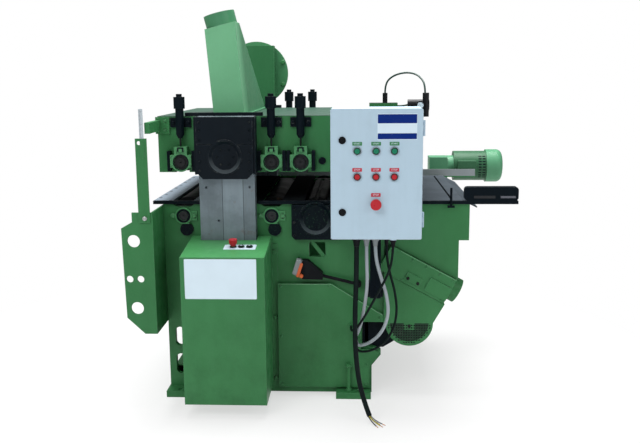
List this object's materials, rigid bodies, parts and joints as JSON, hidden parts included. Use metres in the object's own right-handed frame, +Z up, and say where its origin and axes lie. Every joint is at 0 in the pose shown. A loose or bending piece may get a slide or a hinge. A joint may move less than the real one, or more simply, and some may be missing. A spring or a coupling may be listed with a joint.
{
  "type": "double-sided planer",
  "caption": "Floor-standing double-sided planer with a fixed base, a head that rises on rams, sprung feed rollers, cutters above and below, dust outlets and a control cabinet.",
  "frame": {"origin": "on the floor in the middle of the four anchor holes", "axes": "+X with the feed from the infeed to the outfeed end, +Y from the control side to the drive side, +Z up"},
  "size_m": [1.728, 1.7425, 1.6563],
  "materials": {
    "green_paint": "satin machine enamel",
    "navy_paint": "satin dark enamel",
    "ground_steel": "ground",
    "table_steel": "planed and worn",
    "cabinet_paint": "fine textured powder coat",
    "rubber_black": "matt",
    "black_plastic": "matt",
    "black_steel": "satin",
    "motor_green": "enamelled casting",
    "cast_grey": "bare casting",
    "air_plastic": "matt",
    "hose_green": "smooth tube",
    "red_plastic": "gloss",
    "green_plastic": "gloss"
  },
  "bodies": {
    "base": {"base_front_plate": "green_paint", "base_rear_frame": "green_paint", "lower_front_cover": "green_paint", "lower_motor_guard": "green_paint", "work_tables": "table_steel", "side_guide_bar": "black_steel", "lower_bearing_housings": "navy_paint", "chip_chute": "green_paint", "lower_motor": "motor_green", "lower_belt": "rubber_black", "feed_chain": "ground_steel", "feed_gearmotor": "motor_green", "rear_guards": "green_paint", "lift_drive_cover": "green_paint", "lift_drive": "cast_grey", "scale_bracket": "green_paint", "cabinet_body": "cabinet_paint", "cabinet_internals": "black_plastic", "cabinet_support": "green_paint", "mains_cable": "rubber_black", "control_cables": "rubber_black", "side_connector": "black_plastic"},
    "head": {"head_front_plate": "green_paint", "head_rear_frame": "green_paint", "lift_rams": "ground_steel", "upper_bearing_housings": "navy_paint", "pressure_units": "black_steel", "dust_hood": "green_paint", "upper_motor": "motor_green", "upper_belt_guard": "green_paint", "upper_belt": "rubber_black", "scale_pointer": "black_steel", "air_unit": "air_plastic", "air_hoses": "hose_green"},
    "upper_cutterblock": {"upper_cutterblock": "ground_steel"},
    "lower_cutterblock": {"lower_cutterblock": "ground_steel"},
    "upper_motor_pulley": {"upper_motor_pulley": "cast_grey"},
    "lower_motor_pulley": {"lower_motor_pulley": "cast_grey"},
    "feed_sprocket": {"feed_sprocket": "ground_steel"},
    "door": {"cabinet_door": "cabinet_paint"},
    "emergency_stop": {"emergency_stop": "red_plastic"},
    "lift_emergency_stop": {"lift_emergency_stop": "red_plastic"},
    "lift_up_button": {"lift_up_button": "black_plastic"},
    "lift_down_button": {"lift_down_button": "black_plastic"},
    "upper_roller_1": {"upper_roller_1": "ground_steel"},
    "upper_roller_2": {"upper_roller_2": "ground_steel"},
    "upper_roller_3": {"upper_roller_3": "ground_steel"},
    "upper_roller_4": {"upper_roller_4": "ground_steel"},
    "lower_roller_1": {"lower_roller_1": "ground_steel"},
    "roller_carriage_1": {"roller_carriage_1": "green_paint"},
    "start_button_1": {"start_button_1": "green_plastic"},
    "stop_button_1": {"stop_button_1": "red_plastic"},
    "lower_roller_2": {"lower_roller_2": "ground_steel"},
    "roller_carriage_2": {"roller_carriage_2": "green_paint"},
    "start_button_2": {"start_button_2": "green_plastic"},
    "stop_button_2": {"stop_button_2": "red_plastic"},
    "lower_roller_3": {"lower_roller_3": "ground_steel"},
    "roller_carriage_3": {"roller_carriage_3": "green_paint"},
    "start_button_3": {"start_button_3": "green_plastic"},
    "stop_button_3": {"stop_button_3": "red_plastic"}
  },
  "joints": [
    {"name": "head_lift", "type": "slide", "parent": "base", "child": "head", "axis": [0, 0, 1], "range_m": [-0.11, 0.1]},
    {"name": "lower_roller_1_spin", "type": "hinge", "parent": "base", "child": "lower_roller_1", "pos_m": [-0.353, 0, 0.797], "axis": [0, 1, 0], "continuous": true},
    {"name": "lower_roller_2_spin", "type": "hinge", "parent": "base", "child": "lower_roller_2", "pos_m": [0.024, 0, 0.797], "axis": [0, 1, 0], "continuous": true},
    {"name": "lower_roller_3_spin", "type": "hinge", "parent": "base", "child": "lower_roller_3", "pos_m": [0.52, 0, 0.797], "axis": [0, 1, 0], "continuous": true},
    {"name": "feed_sprocket_spin", "type": "hinge", "parent": "base", "child": "feed_sprocket", "pos_m": [0.818, 0, 0.797], "axis": [0, 1, 0], "continuous": true},
    {"name": "carriage_1_lift", "type": "slide", "parent": "head", "child": "roller_carriage_1", "axis": [0, 0, 1], "range_m": [0, 0.012], "stiffness_N_per_m": 20000, "springref_m": -0.03},
    {"name": "upper_roller_1_spin", "type": "hinge", "parent": "roller_carriage_1", "child": "upper_roller_1", "pos_m": [-0.35, 0, 1.028], "axis": [0, 1, 0], "continuous": true},
    {"name": "carriage_2_lift", "type": "slide", "parent": "head", "child": "roller_carriage_2", "axis": [0, 0, 1], "range_m": [0, 0.012], "stiffness_N_per_m": 20000, "springref_m": -0.03},
    {"name": "upper_roller_2_spin", "type": "hinge", "parent": "roller_carriage_2", "child": "upper_roller_2", "pos_m": [0.03, 0, 1.028], "axis": [0, 1, 0], "continuous": true},
    {"name": "carriage_3_lift", "type": "slide", "parent": "head", "child": "roller_carriage_3", "axis": [0, 0, 1], "range_m": [0, 0.012], "stiffness_N_per_m": 20000, "springref_m": -0.03},
    {"name": "upper_roller_3_spin", "type": "hinge", "parent": "roller_carriage_3", "child": "upper_roller_3", "pos_m": [0.152, 0, 1.028], "axis": [0, 1, 0], "continuous": true},
    {"name": "upper_roller_4_spin", "type": "hinge", "parent": "head", "child": "upper_roller_4", "pos_m": [0.52, 0, 1.028], "axis": [0, 1, 0], "continuous": true},
    {"name": "upper_cutter_spin", "type": "hinge", "parent": "head", "child": "upper_cutterblock", "pos_m": [-0.155, 0, 1.055], "axis": [0, 1, 0], "continuous": true},
    {"name": "upper_motor_spin", "type": "hinge", "parent": "head", "child": "upper_motor_pulley", "pos_m": [-0.155, 0, 1.394], "axis": [0, 1, 0], "continuous": true},
    {"name": "lower_cutter_spin", "type": "hinge", "parent": "base", "child": "lower_cutterblock", "pos_m": [0.211, 0, 0.787], "axis": [0, 1, 0], "continuous": true},
    {"name": "lower_motor_spin", "type": "hinge", "parent": "base", "child": "lower_motor_pulley", "pos_m": [0.61, 0, 0.33], "axis": [0, 1, 0], "continuous": true},
    {"name": "door_hinge", "type": "hinge", "parent": "base", "child": "door", "pos_m": [0.641, -0.687, 1], "axis": [0, 0, 1], "range_deg": [0, 120]},
    {"name": "start_1_press", "type": "slide", "parent": "door", "child": "start_button_1", "axis": [0, 1, 0], "range_m": [0, 0.004], "stiffness_N_per_m": 500, "springref_m": -0.002},
    {"name": "stop_1_press", "type": "slide", "parent": "door", "child": "stop_button_1", "axis": [0, 1, 0], "range_m": [0, 0.004], "stiffness_N_per_m": 500, "springref_m": -0.002},
    {"name": "start_2_press", "type": "slide", "parent": "door", "child": "start_button_2", "axis": [0, 1, 0], "range_m": [0, 0.004], "stiffness_N_per_m": 500, "springref_m": -0.002},
    {"name": "stop_2_press", "type": "slide", "parent": "door", "child": "stop_button_2", "axis": [0, 1, 0], "range_m": [0, 0.004], "stiffness_N_per_m": 500, "springref_m": -0.002},
    {"name": "start_3_press", "type": "slide", "parent": "door", "child": "start_button_3", "axis": [0, 1, 0], "range_m": [0, 0.004], "stiffness_N_per_m": 500, "springref_m": -0.002},
    {"name": "stop_3_press", "type": "slide", "parent": "door", "child": "stop_button_3", "axis": [0, 1, 0], "range_m": [0, 0.004], "stiffness_N_per_m": 500, "springref_m": -0.002},
    {"name": "emergency_stop_press", "type": "slide", "parent": "door", "child": "emergency_stop", "axis": [0, 1, 0], "range_m": [0, 0.005], "stiffness_N_per_m": 1500, "springref_m": -0.002},
    {"name": "lift_emergency_stop_press", "type": "slide", "parent": "base", "child": "lift_emergency_stop", "axis": [0, 0.1263, -0.992], "range_m": [0, 0.005], "stiffness_N_per_m": 1500, "springref_m": -0.002},
    {"name": "lift_up_press", "type": "slide", "parent": "base", "child": "lift_up_button", "axis": [0, 0.1263, -0.992], "range_m": [0, 0.004], "stiffness_N_per_m": 500, "springref_m": -0.002},
    {"name": "lift_down_press", "type": "slide", "parent": "base", "child": "lift_down_button", "axis": [0, 0.1263, -0.992], "range_m": [0, 0.004], "stiffness_N_per_m": 500, "springref_m": -0.002}
  ],
  "couplings": [
    {"joint": "lower_roller_2_spin", "follows": "lower_roller_1_spin", "ratio": 1},
    {"joint": "lower_roller_3_spin", "follows": "lower_roller_1_spin", "ratio": 1},
    {"joint": "feed_sprocket_spin", "follows": "lower_roller_1_spin", "ratio": 1},
    {"joint": "upper_roller_1_spin", "follows": "lower_roller_1_spin", "ratio": -1.31},
    {"joint": "upper_roller_2_spin", "follows": "lower_roller_1_spin", "ratio": -1.31},
    {"joint": "upper_roller_3_spin", "follows": "lower_roller_1_spin", "ratio": -1.31},
    {"joint": "upper_roller_4_spin", "follows": "lower_roller_1_spin", "ratio": -1.31},
    {"joint": "upper_motor_spin", "follows": "upper_cutter_spin", "ratio": 0.64286},
    {"joint": "lower_motor_spin", "follows": "lower_cutter_spin", "ratio": 0.75}
  ]
}
